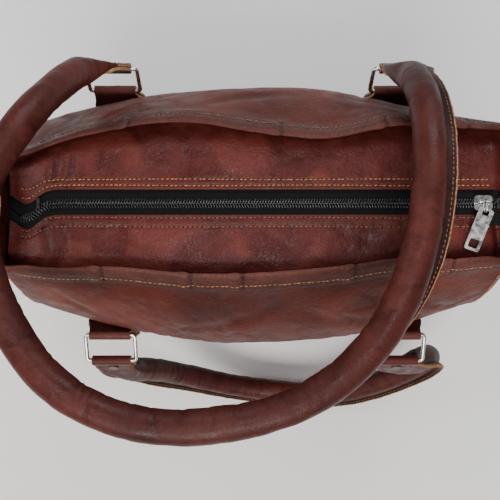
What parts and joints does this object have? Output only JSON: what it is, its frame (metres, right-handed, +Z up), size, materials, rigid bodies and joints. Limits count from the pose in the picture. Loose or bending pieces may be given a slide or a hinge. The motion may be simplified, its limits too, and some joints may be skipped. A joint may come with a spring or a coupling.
{
  "type": "leather tote bag",
  "caption": "Stuffed brown leather tote bag with a recessed zip top, rolled leather handles hung on rectangular metal rings, and swinging zip pull.",
  "frame": {"origin": "middle of the base's underside, on the surface the bag stands on", "axes": "+X along the bag's length towards the closed end of the zip, -Y towards the front handle, +Z up"},
  "size_m": [0.3562, 0.2908, 0.3225],
  "materials": {
    "body_leather": "waxed full-grain leather, reddish brown, darker in the folds",
    "closure_leather": "waxed full-grain leather, redder and lighter than the body",
    "binding_leather": "folded leather edge, rubbed dark",
    "handle_leather": "waxed leather, darker greyish brown, tan cut edges",
    "lining_fabric": "plain woven cotton",
    "board": "stiff fibreboard",
    "core_cord": "packed cotton cord",
    "zip_tape": "black woven polyester tape",
    "zip_coil": "black nylon coil",
    "nickel": "nickel plate, lightly scratched"
  },
  "bodies": {
    "bag": {"back_panel": "body_leather", "back_rim_binding": "binding_leather", "base_board": "board", "base_panel": "body_leather", "chape_back_left": "handle_leather", "chape_back_right": "handle_leather", "chape_front_left": "handle_leather", "chape_front_right": "handle_leather", "front_panel": "body_leather", "front_rim_binding": "binding_leather", "lining_back": "lining_fabric", "lining_front": "lining_fabric", "side_gusset_left": "body_leather", "side_gusset_right": "body_leather", "zip_coil_back": "zip_coil", "zip_coil_front": "zip_coil", "zip_end_stops": "zip_coil", "zip_panel_back": "closure_leather", "zip_panel_front": "closure_leather", "zip_tape_back": "zip_tape", "zip_tape_front": "zip_tape"},
    "zip_slider": {"zip_slider": "nickel"},
    "puller_link": {"puller_link": "nickel"},
    "pull_tab": {"pull_tab": "nickel"},
    "ring_back_left": {"ring_back_left": "nickel"},
    "ring_back_right": {"ring_back_right": "nickel"},
    "back_handle": {"back_handle_core": "core_cord", "back_handle_cover": "handle_leather", "back_handle_end_left": "handle_leather", "back_handle_end_right": "handle_leather", "back_handle_rivets": "nickel"},
    "ring_front_left": {"ring_front_left": "nickel"},
    "ring_front_right": {"ring_front_right": "nickel"},
    "front_handle": {"front_handle_core": "core_cord", "front_handle_cover": "handle_leather", "front_handle_end_left": "handle_leather", "front_handle_end_right": "handle_leather", "front_handle_rivets": "nickel"}
  },
  "joints": [
    {"name": "ring_back_left_swing", "type": "hinge", "parent": "bag", "child": "ring_back_left", "pos_m": [-0.1105, 0.097, 0.188], "axis": [-1, 0, 0], "range_deg": [-2, 60]},
    {"name": "ring_back_right_swing", "type": "hinge", "parent": "bag", "child": "ring_back_right", "pos_m": [0.1105, 0.097, 0.188], "axis": [-1, 0, 0], "range_deg": [-2, 60]},
    {"name": "back_handle_swing", "type": "hinge", "parent": "ring_back_left", "child": "back_handle", "pos_m": [-0.1105, 0.1083, 0.20757], "axis": [-1, 0, 0], "range_deg": [-2.5, 125]},
    {"name": "ring_front_left_swing", "type": "hinge", "parent": "bag", "child": "ring_front_left", "pos_m": [-0.1165, -0.097, 0.172], "axis": [-1, 0, 0], "range_deg": [-4, 50]},
    {"name": "ring_front_right_swing", "type": "hinge", "parent": "bag", "child": "ring_front_right", "pos_m": [0.1165, -0.097, 0.172], "axis": [-1, 0, 0], "range_deg": [-4, 50]},
    {"name": "front_handle_swing", "type": "hinge", "parent": "ring_front_left", "child": "front_handle", "pos_m": [-0.1165, -0.11824, 0.16427], "axis": [-1, 0, 0], "range_deg": [-8, 125]},
    {"name": "zip_slide", "type": "slide", "parent": "bag", "child": "zip_slider", "axis": [1, 0, 0], "range_m": [-0.289, 0]},
    {"name": "link_swing", "type": "hinge", "parent": "zip_slider", "child": "puller_link", "pos_m": [0.156, 0, 0.2557], "axis": [-1, 0, 0], "range_deg": [0, 150]},
    {"name": "pull_tab_swing", "type": "hinge", "parent": "puller_link", "child": "pull_tab", "pos_m": [0.156, -0.0069, 0.2557], "axis": [-0.9397, 0.342, 0], "range_deg": [0, 27]}
  ],
  "couplings": [
    {"joint": "ring_back_right_swing", "follows": "ring_back_left_swing", "ratio": 1},
    {"joint": "ring_front_right_swing", "follows": "ring_front_left_swing", "ratio": 1}
  ]
}
